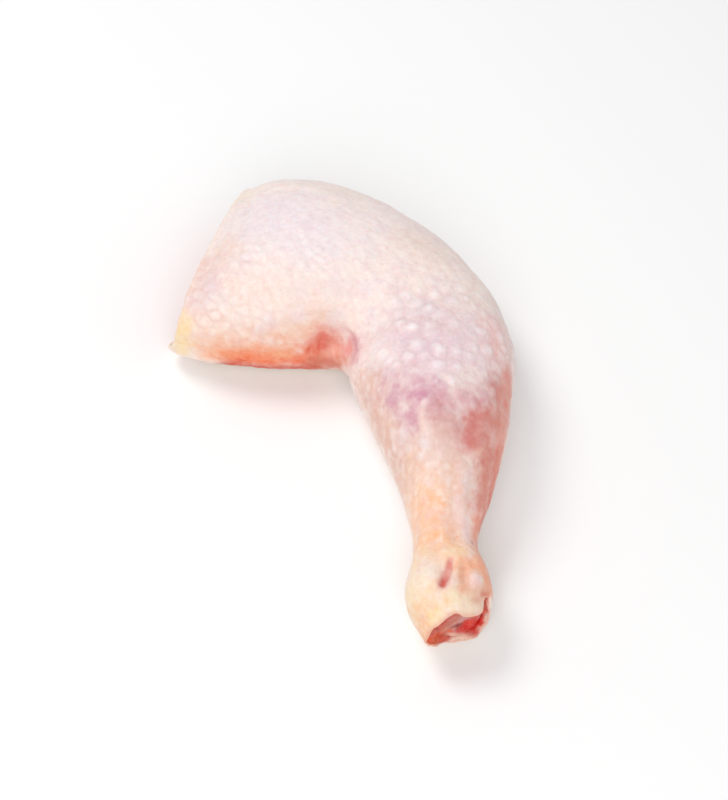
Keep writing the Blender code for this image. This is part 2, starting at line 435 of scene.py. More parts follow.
FOLDS = (
    # the crook: a dimple with small folds in it, and a curved crease round them
    (((-5.5, 8.6, 28), (-5.1, 8.1, 25.4), (-6.2, 7.1, 21.9), (-6.5, 6.5, 17)), 1.7, -1.6),
    (((-8.2, 7.6, 24), (-7.9, 7.2, 22), (-8.2, 6.6, 17)), 1.1, 0.7),
    (((-9.8, 7.4, 25), (-9.6, 6.5, 21.5), (-10, 6, 17)), 1.4, -1.0),
    (((-12.5, 8, 27), (-12, 6.5, 22), (-12.4, 6, 18)), 1.4, 0.5),
    (((-2.8, 8.0, 26), (-1.4, 7, 21), (-0.8, 6.3, 16)), 1.4, 1.0),
    (((0.4, 7.4, 26), (0.9, 6.2, 21), (1, 5.6, 16)), 1.1, -0.9),
    (((-2, 8.6, 29.5), (2, 7, 29.5), (4.4, 4, 29), (5.1, 0, 29), (4.6, -5, 28)), 2.3, 0.15),
    (((-1.4, 7, 21), (1.5, 6.5, 25), (3.5, 5.5, 28)), 1.1, 0.45),
    (((1.5, 5, 16), (3, 4.2, 20.5), (4.8, 2, 25)), 1.2, -0.55),
    (((-3, 9.6, 31.6), (2.8, 7.8, 32.3), (5.6, 4.6, 32), (6.9, -1.8, 32), (6.2, -6.8, 31)), 2.0, -0.42),
    (((4, 9.5, 35), (8, 5, 34.5), (9.3, -1.8, 35), (9, -8, 34)), 2.2, 0.4),
    # the crease between thigh and drumstick, and the roll beside it
    (((8, 4, 36), (12, 3.3, 39.5), (23, 2.6, 46), (34, 10.8, 47), (45, 17.7, 45), (58, 24, 39)),
     1.8, -0.6),
    (((12, 0, 40), (24, -1.5, 46.5), (36, 7, 48), (47, 13, 45.5)), 3.2, 0.5),
    (((58, 10, 41), (61.5, 1, 39.5), (62.5, -8, 38)), 1.5, 0.5),
    # slack folds at the hip's far corner
    (((-38, 80, 28), (-38.5, 64, 37), (-40.5, 50, 39.5), (-44, 38, 39)), 2.0, 0.8),
    (((-34.5, 77, 33), (-35, 64, 39.5), (-36, 52, 43)), 1.7, -0.6),
    (((-33, 77, 34), (-24, 74, 39), (-13, 69, 43.5), (2, 62, 46)), 2.2, 0.5),
    (((-30, 72, 38.5), (-20, 68, 43), (-8, 63, 45.5)), 1.8, -0.35),
    # soft rolls over the thigh's near edge
    (((-48, 9.5, 23), (-36, 6.8, 26.5), (-22, 5.8, 26.5), (-14, 7, 29)), 3.0, 0.5),
    (((-52, 9.5, 17), (-37, 6, 20.5), (-25, 5, 20.5), (-14, 5.5, 19.5)), 2.4, -0.4),
    # tendons of the shank
    (((29.7, -53, 39), (29.5, -70, 34), (29.3, -83, 27), (28, -95, 25)), 2.4, 0.75),
    (((36.7, -55, 41.5), (36.5, -75, 35), (37.6, -86, 31), (38, -94, 31.5)), 2.0, 0.65),
    (((33, -58, 40.5), (33, -75, 34.5), (33.5, -89, 30)), 1.8, -0.55),
    (((41.2, -60, 40), (41.6, -75, 33.5), (42.3, -88, 31)), 1.6, -0.45),
    (((45, -60, 38.5), (45.3, -76, 32), (46.5, -88, 29.5)), 1.9, 0.45),
    (((30.2, -40, 45), (30.4, -45, 43.5), (31.5, -52, 41.5)), 1.1, 0.3),
    (((26, -38, 43.5), (27, -45, 42.5), (28, -52, 40)), 1.5, -0.4),
    # the knuckle: a ridge beside the slot, a hollow with a knob in it, and wrinkles at the end
    (((42.6, -94, 31.4), (41.6, -100, 31.6), (40, -106, 31)), 1.3, 0.7),
    (((44.6, -98, 31.6), (44.6, -102.6, 31.2)), 1.7, -0.9),
    (((45.9, -96.6, 31.5), (50, -95.2, 29.5)), 3.0, -0.7),
    (((48.6, -102.2, 30.2),), 2.8, 1.1),
    (((46.4, -108.7, 28.4), (49.2, -107.8, 26.7), (52.1, -106, 23.7)), 0.9, -0.5),
    (((44, -111, 28.8), (48, -110, 27.4), (52, -108, 23)), 1.2, 0.5),
    (((31, -112, 24), (35, -114.5, 26.5)), 1.6, -0.4),
)

# The slot in the knuckle, narrow and shallow at its upper end.
SLOT = ((39.8, -94.5, 31), (38.6, -99.6, 31), (36.9, -104.4, 31))
SLOT_WIDTHS = (0.8, 1.45)
SLOT_DEPTH = 1.9


def slot_shape(points):
    away, share = path_distance(points, SLOT)
    width = SLOT_WIDTHS[0] + (SLOT_WIDTHS[1] - SLOT_WIDTHS[0]) * share
    shallow_end = 0.5 + 0.5 * ease(share / 0.35)
    return bell(away * (1 + 0.12 * noise_at(points, 2.5, 24)) / width) * shallow_end


def fold_relief(points):
    height = -SLOT_DEPTH * slot_shape(points)
    for fold in (Fold(*row) for row in FOLDS):
        away, share = path_distance(points, fold.path)
        taper = np.sin(np.pi * np.clip(share, 0.08, 0.92)) ** 0.5
        height += fold.rise * taper * bell(away / fold.width)
    return height


def slow_relief(points):
    """The unevenness of soft flesh and the folds, which the skin and the meat under it share."""
    return noises(points, (0.5, 21, 1), (0.26, 9, 2)) + fold_relief(points) - 0.3


def wrinkle_relief(points):
    """Fine creases that wander over the skin. Over the thigh they run along the grain."""
    thigh = on_thigh(points)
    along = points @ THIGH_GRAIN
    drawn = points - THIGH_GRAIN * (0.55 * along)[:, None]
    long_lines = bell(noise_at(drawn, 5.5, 21) / 0.17) * thigh
    short_lines = bell(noise_at(points, 5.2, 22) / 0.15) * (1 - 0.5 * thigh)
    patchy = ease(0.55 + noise_at(points, 15, 23))
    return -(0.2 * long_lines + 0.1 * short_lines) * patchy


# Where the feather follicles stand out most: middle, reach and strength.
FOLLICLE_FIELDS = (
    ((38, -12, 44), 32, 1.0),  # calf
    ((-32, 17, 34), 30, 0.65),  # the crook's side of the thigh
)
FOLLICLE_LEAST = 0.3  # their strength elsewhere
FOLLICLE_SEED = 11
FOLLICLE_SPACING = (3.6, 6.4)
FOLLICLE_SIZES = (0.3, 1.0)
FOLLICLE_RADII = (1.1, 2.5)
FOLLICLE_HEIGHT = 0.55
CREASE_WIDTH = 0.9
CREASE_DEPTH = 0.2
NEIGHBOURS = 5


def follicle_strength(points):
    """How much the follicles stand out. They end above the narrowest part of the shank."""
    strength = FOLLICLE_LEAST
    for middle, reach, most in FOLLICLE_FIELDS:
        strength = strength + most * blob(points, middle, reach)
    patchy = 0.75 + 0.5 * noise_at(points, 11, 31)
    return np.clip(strength * patchy, 0, 1) * ease((points[:, 1] + 84) / 24)


def follicles(points):
    """Bumps at an uneven spacing with creases between them: how far each point is on a bump, and
    how deep in a crease. Over the thigh they are drawn out along the grain, like scales."""
    rng = np.random.default_rng(FOLLICLE_SEED)
    thigh = on_thigh(points)
    tree = tree_of(points)
    blocked = np.zeros(len(points), bool)
    chosen = []
    for i in rng.permutation(len(points)):
        if blocked[i]:
            continue
        spacing = rng.uniform(*FOLLICLE_SPACING) * (1 - 0.15 * thigh[i])
        for _, j, _ in tree.find_range(points[i], spacing):
            blocked[j] = True
        chosen.append(i)
    middles = points[chosen]
    sizes = rng.uniform(*FOLLICLE_SIZES, len(chosen))
    radii = rng.uniform(*FOLLICLE_RADII, len(chosen)) * (1 - 0.3 * thigh[chosen])
    middle_tree = tree_of(middles)
    near = np.array([[j for _, j, _ in middle_tree.find_n(point, NEIGHBOURS)] for point in points])
    apart = points[:, None] - middles[near]
    along = apart @ THIGH_GRAIN
    beside = (apart**2).sum(axis=-1) - along**2
    away = np.sqrt(np.maximum(beside, 0) + (along / (1 + 0.8 * thigh[:, None])) ** 2)
    away *= 1 + noises(points, (0.4, 2.3, 12), (0.2, 1.1, 13))[:, None]
    order = np.argsort(away, axis=1)[:, :2]
    first, second = np.take_along_axis(away, order, axis=1).T
    owner = np.take_along_axis(near, order[:, :1], axis=1)[:, 0]
    dome = sizes[owner] * np.exp(-((first / radii[owner]) ** 2.6))
    return dome, bell((second - first) / CREASE_WIDTH)


def skin_row(place):
    """A section of the skin's outer face, from one edge round to the other."""
    half = window_half_angle(place)
    return arc(place, DOWN + half, FULL_TURN - 2 * half, SKIN_COLUMNS, edges=True)[:, :3]


def rolled_hip_rows():
    """The skin's rim past the hip cut, from its edge inwards. It turns in, and has a flap at one
    corner."""
    first = skin_row(0)
    centre = centres(0)[0]
    corner = np.append(STATIONS[0, NEAR], 0)
    from_corner = np.linalg.norm(first - corner, axis=1)
    flap = HIP_FLAP * np.exp(-((from_corner / FLAP_WIDTH) ** FLAP_POINTEDNESS))
    uneven = 0.7 * np.abs(noise_at(first, 6, 41)) + 0.5 * np.abs(noise_at(first, 2.5, 42))
    rows = []
    for run in (*EDGE_STOPS, 1.9):
        share = 1 - run / HIP_ROLL
        turned = first + (centre - first) * HIP_TURN_IN * share**2
        moved = turned + HIP_OUTWARD * ((HIP_ROLL + flap - uneven) * share)[:, None]
        rows.append(np.column_stack((moved, np.full(len(moved), -0.1 * share))))
    return rows


# The torn rim of the skin at the hock cut: a flap that hangs over the bone, a lower lip, and a
# notch where the skin has split.
HOCK_FLAP = (47.2, -110.4, 26.5)
HOCK_FLAP_REACH = 5.6
HOCK_FLAP_OUT = 2.3
HOCK_FLAP_DROOP = 1.7
HOCK_LIP = (49.5, -109.5, 8)
HOCK_LIP_REACH = 7.5
HOCK_LIP_OUT = 3.0
HOCK_NOTCH = (52.2, -107.8, 21.5)
NOTCH_HALF_WIDTH = 3.0
NOTCH_DEPTH = 4.8
FLAP_RUN, LIP_RUN, TORN_RUN, NOTCH_RUN = 4, 5, 2.5, 7  # how far from the cut each starts


def hock_lip(points, places):
    """How far the lower rim at the hock stands out, skin and meat alike."""
    to_cut = (LAST - places) * STATION_PITCH
    return HOCK_LIP_OUT * blob(points, HOCK_LIP, HOCK_LIP_REACH) * bell(to_cut / LIP_RUN)


def torn_hock_rim(points, places):
    """How far the skin's rim at the hock moves."""
    to_cut = (LAST - places) * STATION_PITCH
    from_flap = np.linalg.norm(points - HOCK_FLAP, axis=1) / HOCK_FLAP_REACH
    flap = np.exp(-(from_flap**4)) * bell(to_cut / FLAP_RUN)
    torn = 0.4 + noises(points, (0.8, 4, 43), (0.3, 1.6, 44))
    torn *= bell(to_cut / TORN_RUN) * (1 - flap)
    apart = points - HOCK_NOTCH
    apart -= HOCK_OUTWARD * (apart @ HOCK_OUTWARD)[:, None]
    split = np.clip(1 - np.linalg.norm(apart, axis=1) / NOTCH_HALF_WIDTH, 0, 1)
    split *= bell(to_cut / NOTCH_RUN)
    out = HOCK_FLAP_OUT * flap + hock_lip(points, places) - torn - NOTCH_DEPTH * split
    moved = HOCK_OUTWARD * out[:, None]
    moved[:, 2] -= HOCK_FLAP_DROOP * flap
    return moved


def skin_places():
    even = np.linspace(0, LAST - EDGE_STOPS[-1] / STATION_PITCH, LAST * ROWS_PER_STATION + 1)
    return np.concatenate((even, LAST - EDGE_STOPS[-2::-1] / STATION_PITCH))


def skin_sheet():
    """The skin's outer face: points, the place of each, and quads."""
    rows = rolled_hip_rows()
    seam = [False] * len(rows)
    for place in skin_places():
        points = skin_row(place)
        rows.append(np.column_stack((points, np.full(len(points), place))))
        seam.append(window_half_angle(place) == 0)
    table, quads = grid(rows, np.array(seam))
    return table[:, :3], table[:, 3], quads


SKIN_BASE = (247, 230, 221)

# Broad patches of the skin's colour, with some painted light and shade among them, under the follicles.
SKIN_PATCHES = (
    # underside: pink under the calf, warmer towards the hock, and yellow fat by the bare meat
    (((30, 0, 0), (40, -30, 0), (44, -52, 2)), 17, (236, 206, 200), 0.7, 0.45),
    (((50, -8, 2), (54, -30, 4)), 8, (226, 178, 170), 0.5, 0.5),
    (((40, -68, 4), (41, -90, 4)), 12, (245, 206, 174), 0.75, 0.3),
    (((40, -104, 3),), 10, (246, 224, 190), 0.7, 0.3),
    (((-50, 18, 1), (-20, 12, 0), (12, 20, 0), (26, 36, 0), (20, 56, 0)), 7, (250, 226, 180), 0.6, 0.4),
    # thigh: lavender above, partly painted shade where the top turns away, cream below, a pink patch by
    # the hip
    (((-14, 42, 50), (-22, 55, 47)), 27, (242, 228, 232), 0.95),
    (((18, 52, 47),), 22, (244, 229, 227), 0.7),
    (((-31, 76, 36), (-15, 70, 43), (4, 62, 46)), 9, (247, 233, 216), 0.4, 0.3),
    (((-38, 72, 33),), 6, (249, 236, 212), 0.5),
    (((-43, 41, 40), (-48, 33, 37)), 8, (243, 214, 200), 0.8),
    (((-50, 35, 33), (-54, 22, 30)), 8, (238, 204, 194), 0.8),
    (((-55, 15, 25), (-50, 12, 22)), 7, (246, 212, 190), 0.7),
    (((-46, 27, 38),), 9, (234, 202, 202), 0.85, 0.2),
    (((-34, 20, 42), (-20, 14, 42), (-4, 11, 39)), 15, (245, 223, 211), 0.85),
    # painted grey shade where the thigh's top turns away from the light by the knee
    (((27, 40, 47), (34, 34, 46)), 8, (234, 211, 198), 0.85, 0.5),
    (((14, 12, 46), (28, 22, 49)), 13, (250, 232, 224), 0.6),
    # the upper edge of the painted orange glow along the thigh's lower edge
    (((-47, 9.5, 23), (-21, 6, 28), (-8, 9, 32)), 7.5, (246, 203, 178), 0.85),
    # the far side: pink and cream by turns, and yellow where the fat is thick by the floor
    (((52, 40, 24), (40, 62, 24)), 15, (238, 206, 200), 0.6, 0.3),
    (((20, 78, 22), (-8, 86, 22)), 13, (247, 228, 208), 0.7, 0.3),
    (((62, 14, 26), (66, -6, 24)), 12, (240, 208, 206), 0.6, 0.3),
    (((58, 30, 6), (40, 60, 5), (10, 82, 5)), 7, (246, 222, 184), 0.6, 0.4),
    # drumstick: lavender above, a warm cream side and an orange shank
    (((12, 3, 40), (23, 3, 46), (34, 11, 47), (45, 18, 45)), 5, (246, 230, 220), 0.5),
    (((34, -10, 48),), 25, (227, 200, 204), 0.95),
    (((13.9, -8, 39.8), (20, -14.8, 44.3)), 4.5, (250, 236, 232), 0.8, 0.3),
    (((25, -12, 46), (33, -20, 48)), 9, (230, 202, 214), 0.6, 0.6),
    (((46, -12, 47), (55, -14, 42)), 10, (240, 214, 220), 0.65, 0.3),
    (((58, 2, 39), (59, -11, 40), (62, -16, 33)), 7, (244, 197, 192), 0.85),
    # painted shade: darker towards the drumstick's far edge, where its side turns away
    (((58.2, -24, 39.6), (57.9, -28, 39.8)), 5, (214, 156, 150), 0.8, 0.15),
    (((22, -42, 40), (30, -44, 43)), 7, (230, 190, 192), 0.55, 0.7),
    (((12, -22, 32), (18, -43, 30), (23, -56, 28)), 11, (225, 180, 161), 0.9),
    (((29.7, -53, 39), (36.7, -54.7, 41.4), (40, -60, 39)), 11, (227, 191, 178), 0.9, 0.15),
    (((29.5, -70, 32), (30, -84, 27), (37.8, -86, 31)), 13, (247, 198, 162), 0.95),
    (((33.4, -71, 33.4), (36.2, -73, 34), (35, -83, 30)), 3.6, (248, 184, 138), 0.8, 0.2),
    (((41.5, -88, 31), (41, -82, 31)), 1.8, (238, 176, 130), 0.7),
    (((41.8, -79, 31.5), (44.4, -71, 33.7), (45.5, -63, 36)), 4.4, (237, 194, 178), 0.7, 0.2),
    # painted light: the shank's side made lighter where light falls on it
    (((49.6, -72, 28), (48.4, -79, 25)), 3.4, (255, 190, 172), 0.8, 0.1),
    (((46.2, -78, 30), (46.3, -83, 28.6)), 3.0, (246, 212, 212), 0.8, 0.1),
    (((48.2, -84.4, 27),), 1.1, (170, 120, 136), 0.7),
    (((51.6, -74, 23), (50.6, -88, 23)), 5.4, (236, 146, 116), 0.85),
    # knuckle
    (((26.5, -105, 24), (32, -113, 23), (39, -110, 28)), 14, (245, 222, 189), 0.95),
    (((30, -117, 13), (30.4, -115.5, 21)), 8, (244, 187, 140), 0.85),
    (((34, -114.8, 24.5),), 3, (247, 228, 170), 0.6, 0.3),
    (((39.6, -91, 31), (44, -92, 31)), 2.6, (250, 222, 178), 0.6),
)

# Patches of blood and of thin skin over meat, over the follicles, with painted light and shade among
# them.
BLOOD_AND_PAINTED_LIGHT_PATCHES = (
    # painted orange glow of reflected light and translucency along the thigh's lower edge, where the
    # skin turns under
    (((-50, 9, 15.5), (-45, 7.5, 17)), 5, (249, 190, 156), 0.75, 0.1, 2.0),
    (((-42, 7, 18.5), (-36, 6, 20.5), (-31, 5.5, 21.5), (-24, 5, 20.5)),
     5.8, (245, 160, 116), 0.85, 0.2, 2.0),
    (((-24, 5, 19), (-14, 5.5, 18.5), (-4, 6, 18)), 5.8, (244, 160, 124), 0.88, 0.2, 2.0),
    (((-39, 6, 15), (-32.5, 5.5, 17.5), (-24, 5, 15)), 4.2, (243, 122, 72), 0.85, 0.25, 2.0),
    (((-17, 5.5, 16.5), (-11, 5.5, 15.5)), 4.2, (238, 112, 70), 0.85, 0.2, 2.0),
    (((-22, 5, 20.5), (-18, 5.5, 20)), 2.4, (246, 184, 136), 0.55, 0.3),
    (((-42, 7, 9), (-33, 5.5, 10), (-20, 5, 9.5), (-8, 5.5, 10)), 4.6, (206, 66, 38), 0.95),
    (((-59, 14, 14), (-58, 15, 20), (-57.4, 16, 25.5)), 4.2, (250, 221, 164), 0.85, 0.2),
    # crook
    (((5, 4, 32), (8.5, -4, 33.5)), 5.5, (240, 198, 196), 0.6, 0.1, 2.0),
    (((-6.5, 7.6, 23.5), (-3, 7, 19.5)), 7.2, (238, 158, 138), 0.75, 0.0, 2.4),
    (((-5.2, 8.4, 26.5), (-5.8, 7.4, 22.5)), 3.0, (225, 106, 88), 0.82, 0.2),
    # painted shade under the crook, where the skin turns under
    (((-8, 6.2, 14.5), (-1.5, 6, 14.5)), 3.8, (204, 108, 84), 0.85, 0.15),
    (((-2.2, 8, 25),), 2.4, (222, 132, 112), 0.7, 0.1),
    (((-9.6, 6.5, 21.5),), 2.2, (230, 108, 76), 0.75, 0.2),
    (((-1.6, 7, 21.5),), 1.8, (250, 190, 172), 0.7),
    (((2.8, 4.9, 23), (4.2, 4, 27.5), (4.8, -1, 27.5)), 2.6, (244, 164, 156), 0.85),
    # painted shade along the crook's curved crease
    (((-2, 9.4, 31), (3, 7.8, 32.2), (5.6, 4.6, 32)), 2.0, (226, 178, 176), 0.4),
    (((6, 3, 32), (6.9, -1.8, 32.2), (6.2, -5, 31)), 2.4, (210, 142, 154), 0.7, 0.15),
    # drumstick: a ragged purple band, a red patch and an orange edge
    (((19, -25, 41.5), (23, -29, 43.5), (27, -31, 45.5)), 7, (214, 162, 172), 0.85, 0.6),
    (((19.6, -31.3, 40.1), (22, -37, 41)), 3.4, (212, 160, 172), 0.8, 0.5, 3.0),
    (((26.3, -36, 44.2), (26.8, -45, 42)), 3.4, (212, 156, 168), 0.85, 0.5, 3.0),
    (((30, -34, 46.5), (34.1, -32.7, 47.7), (36.2, -37.6, 47)), 4.4, (202, 134, 160), 0.92, 0.45, 3.0),
    (((37, -36, 47), (42, -36, 47.3), (48.5, -35.5, 45.5), (53, -33, 44)),
     4.6, (216, 160, 168), 0.85, 0.4, 2.5),
    (((36, -41, 46.3), (40.5, -44.5, 45.4), (42, -48, 44)), 5.6, (206, 150, 148), 0.85, 0.3),
    (((38.5, -51, 43),), 5, (220, 178, 166), 0.7, 0.2),
    (((30.3, -41, 44.8), (30.6, -47, 43.2)), 1.3, (248, 220, 208), 0.45),
    (((49.8, -42.5, 43.5), (49.2, -47, 42), (47.6, -51.5, 41)), 4.6, (214, 124, 118), 0.9, 0.25, 2.8),
    (((52.5, -48, 39.5), (52, -52, 37)), 4.4, (220, 138, 128), 0.7, 0.1),
    (((55.5, -40, 40), (56, -47, 36)), 6.2, (221, 138, 127), 0.85, 0.25),
    (((57.6, -27, 40), (59, -31, 37), (57.6, -38, 37)), 4.4, (218, 140, 128), 0.8, 0.2),
    (((62, -18, 33), (61, -30, 32), (58, -46, 28)), 6.5, (230, 132, 110), 0.85, 0.15),
    (((48.6, -54.5, 38.5), (52, -52, 36.5)), 1.8, (248, 206, 190), 0.7, 0.2),
    (((57.8, -50, 27), (56.3, -57, 25)), 6, (226, 114, 90), 0.92, 0.25),
    (((55.8, -60, 22), (53.6, -70, 19.5)), 4.8, (222, 106, 84), 0.92, 0.2),
    (((54.8, -53, 33), (52.8, -60, 31), (51.8, -65, 27)), 5.6, (220, 128, 110), 0.88, 0.15),
    # knuckle
    (((45.6, -96.8, 31.5), (50, -96.4, 29.2), (52.6, -101, 26)), 4.4, (247, 166, 122), 0.88, 0.2),
    # painted shadow in the hollow beside the knuckle's knob
    (((44.6, -99.6, 31.5), (44.6, -103, 31.2), (44.2, -106, 30.6)), 2.3, (226, 162, 130), 0.8, 0.1),
    (((48.5, -106, 28.6), (51.4, -104.4, 26.6)), 3.2, (234, 180, 156), 0.75, 0.1),
    (((51.6, -93, 26.5), (52.8, -97, 25.5), (54, -101, 23)), 4.2, (247, 170, 138), 0.85, 0.15),
    # painted highlight on the knuckle's knob
    (((48.6, -102.2, 30.2),), 2.5, (242, 208, 206), 0.85, 0.1),
    (((47.6, -108.4, 27.8), (51, -107, 25)), 0.75, (230, 170, 142), 0.5),
    (((50.4, -105.4, 26.2), (52, -104.6, 23.6), (53, -107, 21)), 1.3, (208, 98, 70), 0.85, 0.1),
)
SLOT_COLOUR = (210, 96, 84)
SLOT_HALO = (238, 178, 176)
FOLLICLE_COLOUR = (252, 242, 243)
# painted shade in the creases between the follicles
CREASE_SHADE_COLOUR = (222, 178, 164)
SCALY_MIDDLE = (-44, 13, 29)  # where the thigh's skin looks like scales
SCALY_REACH = 16
PINK_MOTTLE = (238, 204, 204)
CREAM_MOTTLE = (254, 244, 236)
LILAC_MOTTLE = (226, 212, 226)
RIM_COLOUR = (250, 222, 184)
HOCK_RIM_COLOUR = (232, 160, 136)
RIM_WIDTH = 1.2
SKIN_LIGHT_SPECKS = (255, 246, 238)
SKIN_DARK_SPECKS = (243, 228, 226)

# How the relief dies down towards the skin's rim: what is left of it there, and within what reach.
RIM_RELIEF = 0.3
RIM_REACH = 4


# The colour sockets of Blender's Mix node.
MIX_FIRST, MIX_SECOND, MIX_RESULT = 6, 7, 2
BUMP_STRENGTH = 0.4


class Finish:
    """A material made from the mesh's painted colours and from noise in the piece's own space."""

    def __init__(self, name, **settings):
        self.material = bpy.data.materials.new(name)
        self.material.use_nodes = True
        tree = self.material.node_tree
        self.nodes, self.links = tree.nodes, tree.links
        self.shader = self.nodes["Principled BSDF"]
        self.place = self.nodes.new("ShaderNodeTexCoord").outputs["Object"]
        for socket, value in settings.items():
            self.shader.inputs[socket.replace("_", " ")].default_value = value

    def tint(self):
        node = self.nodes.new("ShaderNodeAttribute")
        node.attribute_name = TINT
        return node.outputs["Color"]

    def texture(self, kind, scale, output="Fac", **settings):
        node = self.nodes.new(kind)
        self.links.new(self.place, node.inputs["Vector"])
        node.inputs["Scale"].default_value = scale
        for name, value in settings.items():
            node.inputs[name].default_value = value
        return node.outputs[output]

    def noise(self, scale, detail=3.0, roughness=0.6):
        return self.texture("ShaderNodeTexNoise", scale, Detail=detail, Roughness=roughness)

    def spread(self, source, low, high, start=0.0, end=1.0):
        node = self.nodes.new("ShaderNodeMapRange")
        values = {"From Min": low, "From Max": high, "To Min": start, "To Max": end}
        for name, value in values.items():
            node.inputs[name].default_value = value
        self.links.new(source, node.inputs["Value"])
        return node.outputs["Result"]

    def mix(self, shares, first, colour, blend="MIX"):
        """Lays a colour over another by shares, which are a socket."""
        node = self.nodes.new("ShaderNodeMix")
        node.data_type = "RGBA"
        node.blend_type = blend
        self.links.new(shares, node.inputs["Factor"])
        self.links.new(first, node.inputs[MIX_FIRST])
        node.inputs[MIX_SECOND].default_value = (*linear(*colour), 1)
        return node.outputs[MIX_RESULT]

    def add(self, first, second):
        node = self.nodes.new("ShaderNodeMath")
        node.operation = "ADD"
        self.links.new(first, node.inputs[0])
        self.links.new(second, node.inputs[1])
        return node.outputs[0]

    def connect(self, colour, roughness, height, bump_distance):
        """Joins the shader to a colour, a roughness and the height of fine bumps."""
        node = self.nodes.new("ShaderNodeBump")
        node.inputs["Strength"].default_value = BUMP_STRENGTH
        node.inputs["Distance"].default_value = bump_distance
        self.links.new(height, node.inputs["Height"])
        self.links.new(node.outputs["Normal"], self.shader.inputs["Normal"])
        self.links.new(colour, self.shader.inputs["Base Color"])
        self.links.new(roughness, self.shader.inputs["Roughness"])


def make_skin_material():
    """Skin over fat: painted colours, finely specked, with a soft damp sheen."""
    finish = Finish(
        "chicken_skin",
        Subsurface_Weight=0.15, Subsurface_Radius=(1.0, 0.4, 0.28), Subsurface_Scale=0.0014,
        Coat_Weight=0.05, Coat_Roughness=0.24, Specular_IOR_Level=0.26,
    )
    specks = finish.noise(620.0, 3.0, 0.65)
    light = finish.spread(specks, 0.5, 0.75, 0.0, 0.12)
    dark = finish.spread(specks, 0.5, 0.25, 0.0, 0.5)
    colour = finish.mix(light, finish.tint(), SKIN_LIGHT_SPECKS)
    colour = finish.mix(dark, colour, SKIN_DARK_SPECKS, "MULTIPLY")
    roughness = finish.spread(finish.noise(260.0), 0.3, 0.7, 0.36, 0.58)
    pores = finish.spread(finish.texture("ShaderNodeTexVoronoi", 560.0, "Distance"), 0.0, 1.0, 0.0, 0.6)
    grain = finish.spread(finish.noise(1000.0, 4.0), 0.0, 1.0, 0.0, 0.5)
    finish.connect(colour, roughness, finish.add(grain, pores), 0.0004)
    return finish.material


def skin_tint(points, places, from_rim, dome, crease):
    """The skin's colours, with painted light and shade over them. Dome and crease are a follicle's bump
    and crease at each point.
    """
    tint = paint(points, one_colour(SKIN_BASE, len(points)), SKIN_PATCHES)
    pink = ease(0.1 + noises(points, (1.2, 3.6, 71), (0.6, 1.7, 72)))
    cream = ease(0.1 + noises(points, (1.2, 2.9, 73), (0.6, 1.5, 74)))
    lilac = ease(0.1 + noises(points, (1.3, 8, 76), (0.4, 3, 77))) * ease((points[:, 2] - 20) / 15)
    tint = towards(tint, PINK_MOTTLE, 0.3 * pink)
    tint = towards(tint, CREAM_MOTTLE, 0.3 * cream)
    tint = towards(tint, LILAC_MOTTLE, 0.25 * lilac)
    scaly = blob(points, SCALY_MIDDLE, SCALY_REACH) * (0.6 + noise_at(points, 8, 75))
    tint = towards(tint, FOLLICLE_COLOUR, (0.95 - 0.5 * on_thigh(points)) * dome)
    # painted shade in the creases between the follicles, strongest where the skin looks like scales
    tint = towards(tint, CREASE_SHADE_COLOUR, (0.06 + 0.6 * scaly) * crease)
    tint = paint(points, tint, BLOOD_AND_PAINTED_LIGHT_PATCHES)
    slot = slot_shape(points)
    tint = towards(tint, SLOT_HALO, 0.6 * slot**0.3)
    tint = towards(tint, SLOT_COLOUR, 0.95 * slot)
    at_rim = 0.6 * bell(from_rim / RIM_WIDTH)
    tint = towards(tint, RIM_COLOUR, at_rim * (places < WINDOW_END))
    return towards(tint, HOCK_RIM_COLOUR, at_rim * (places > WINDOW_END))


def make_skin():
    points, places, quads = skin_sheet()
    normals = normals_of(points, quads)
    dome, crease = follicles(points)
    strength = follicle_strength(points)
    relief = slow_relief(points) + wrinkle_relief(points)
    relief += strength * (FOLLICLE_HEIGHT * dome - CREASE_DEPTH * crease)
    border = border_of(quads, len(points))
    from_rim = nearest_distance(points, points[border])
    relief *= RIM_RELIEF + (1 - RIM_RELIEF) * ease(from_rim / RIM_REACH)
    outer = points + normals * (relief * off_floor(points[:, 2]))[:, None]
    outer += torn_hock_rim(points, places)

    # the inner face, which meets the outer one in a round rim
    normals = normals_of(outer, quads)
    depth = skin_depth(places)
    half = depth / 2
    fall = half * (1 - np.sqrt(1 - (1 - np.clip(from_rim / half, 0, 1)) ** 2))
    inner = outer - normals * (depth - fall)[:, None]
    outer = outer - normals * fall[:, None]

    inner_index = np.arange(len(points)) + len(points)
    inner_index[border] = np.flatnonzero(border)
    both = np.concatenate((quads, inner_index[quads][:, ::-1]))
    used, both = np.unique(both, return_inverse=True)
    shell = np.concatenate((outer, inner))[used]
    tint = skin_tint(points, places, from_rim, strength * dome, strength * crease)
    tint = np.concatenate((tint, tint))[used]
    both = both.reshape(-1, 4)
    piece = new_piece("chicken_skin", shell, both, tint, make_skin_material())
    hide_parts("skin")


def face_rings(edge, outward, bulge):
    """Rings that close an end from its middle to its edge, with a round bulge, and their shares."""
    middle = edge[:-1].mean(axis=0)
    shares = np.linspace(0, 1, FACE_RINGS + 1)[:-1] ** 0.9
    rise = bulge * (1 - shares**2)
    rings = middle + (edge - middle) * shares[:, None, None] + outward * rise[:, None, None]
    return rings, shares[:, None]


